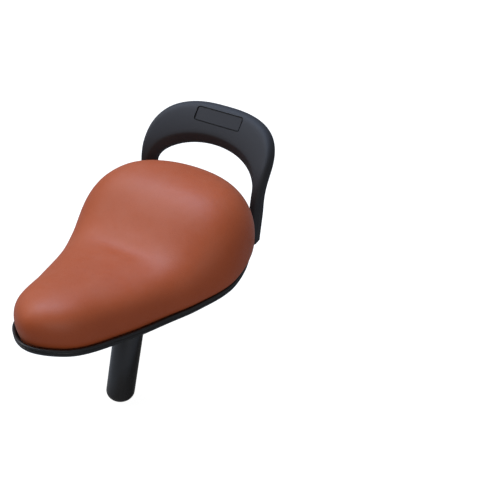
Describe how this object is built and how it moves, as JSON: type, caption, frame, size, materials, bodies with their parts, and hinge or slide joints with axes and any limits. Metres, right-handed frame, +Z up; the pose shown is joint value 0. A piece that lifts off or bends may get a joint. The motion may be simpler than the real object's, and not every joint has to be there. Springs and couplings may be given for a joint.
{
  "type": "bicycle saddle",
  "caption": "Child's padded bicycle saddle on a short slanted seatpost, with an adjustable rail clamp under the seat and a grab handle that leans back behind it.",
  "frame": {"origin": "centre of the seatpost's lower end", "axes": "+Z up with the seat level, -Y towards the nose, +X towards the saddle's left side; the seatpost leans back 17 degrees from +Z towards +Y"},
  "size_m": [0.1546, 0.271, 0.2208],
  "materials": {
    "leatherette": "smooth satin",
    "foam": "open cell foam",
    "pan_plastic": "moulded, matt",
    "shell_plastic": "moulded, satin",
    "handle_plastic": "moulded, satin",
    "post_paint": "gloss black",
    "zinc_steel": "zinc plated",
    "black_steel": "black oxide"
  },
  "bodies": {
    "post": {"seatpost": "post_paint"},
    "strap": {"clamp_strap": "black_steel"},
    "cradle": {"clamp_stud": "zinc_steel", "inner_cheek_left": "black_steel", "inner_cheek_right": "black_steel", "outer_cheek_left": "black_steel", "outer_cheek_right": "black_steel", "clamp_washer_left": "zinc_steel", "clamp_washer_right": "zinc_steel", "clamp_nut_left": "zinc_steel", "clamp_nut_right": "zinc_steel"},
    "saddle": {"cover": "leatherette", "foam_pad": "foam", "base_pan": "pan_plastic", "lower_shell": "shell_plastic", "grab_handle": "handle_plastic", "rear_bridge": "pan_plastic", "nose_clip": "pan_plastic", "rail_left": "black_steel", "rail_right": "black_steel", "handle_screw_1": "zinc_steel", "handle_screw_2": "zinc_steel", "handle_screw_3": "zinc_steel", "handle_screw_4": "zinc_steel", "bridge_screw_1": "zinc_steel", "bridge_screw_2": "zinc_steel", "clip_screw_1": "zinc_steel", "clip_screw_2": "zinc_steel", "shell_screw_1": "zinc_steel", "shell_screw_2": "zinc_steel", "shell_screw_3": "zinc_steel", "shell_screw_4": "zinc_steel", "staple_1": "zinc_steel", "staple_2": "zinc_steel", "staple_3": "zinc_steel", "staple_4": "zinc_steel", "staple_5": "zinc_steel", "staple_6": "zinc_steel", "staple_7": "zinc_steel", "staple_8": "zinc_steel"}
  },
  "joints": [
    {"name": "saddle_swivel", "type": "hinge", "parent": "post", "child": "strap", "pos_m": [0, 0, 0], "axis": [0, 0.2924, 0.9563], "continuous": true},
    {"name": "saddle_tilt", "type": "hinge", "parent": "strap", "child": "cradle", "pos_m": [0, 0.04522, 0.08804], "axis": [1, 0, 0], "range_deg": [-15, 15]},
    {"name": "saddle_slide", "type": "slide", "parent": "cradle", "child": "saddle", "axis": [0, 1, 0], "range_m": [-0.012, 0.012]}
  ]
}
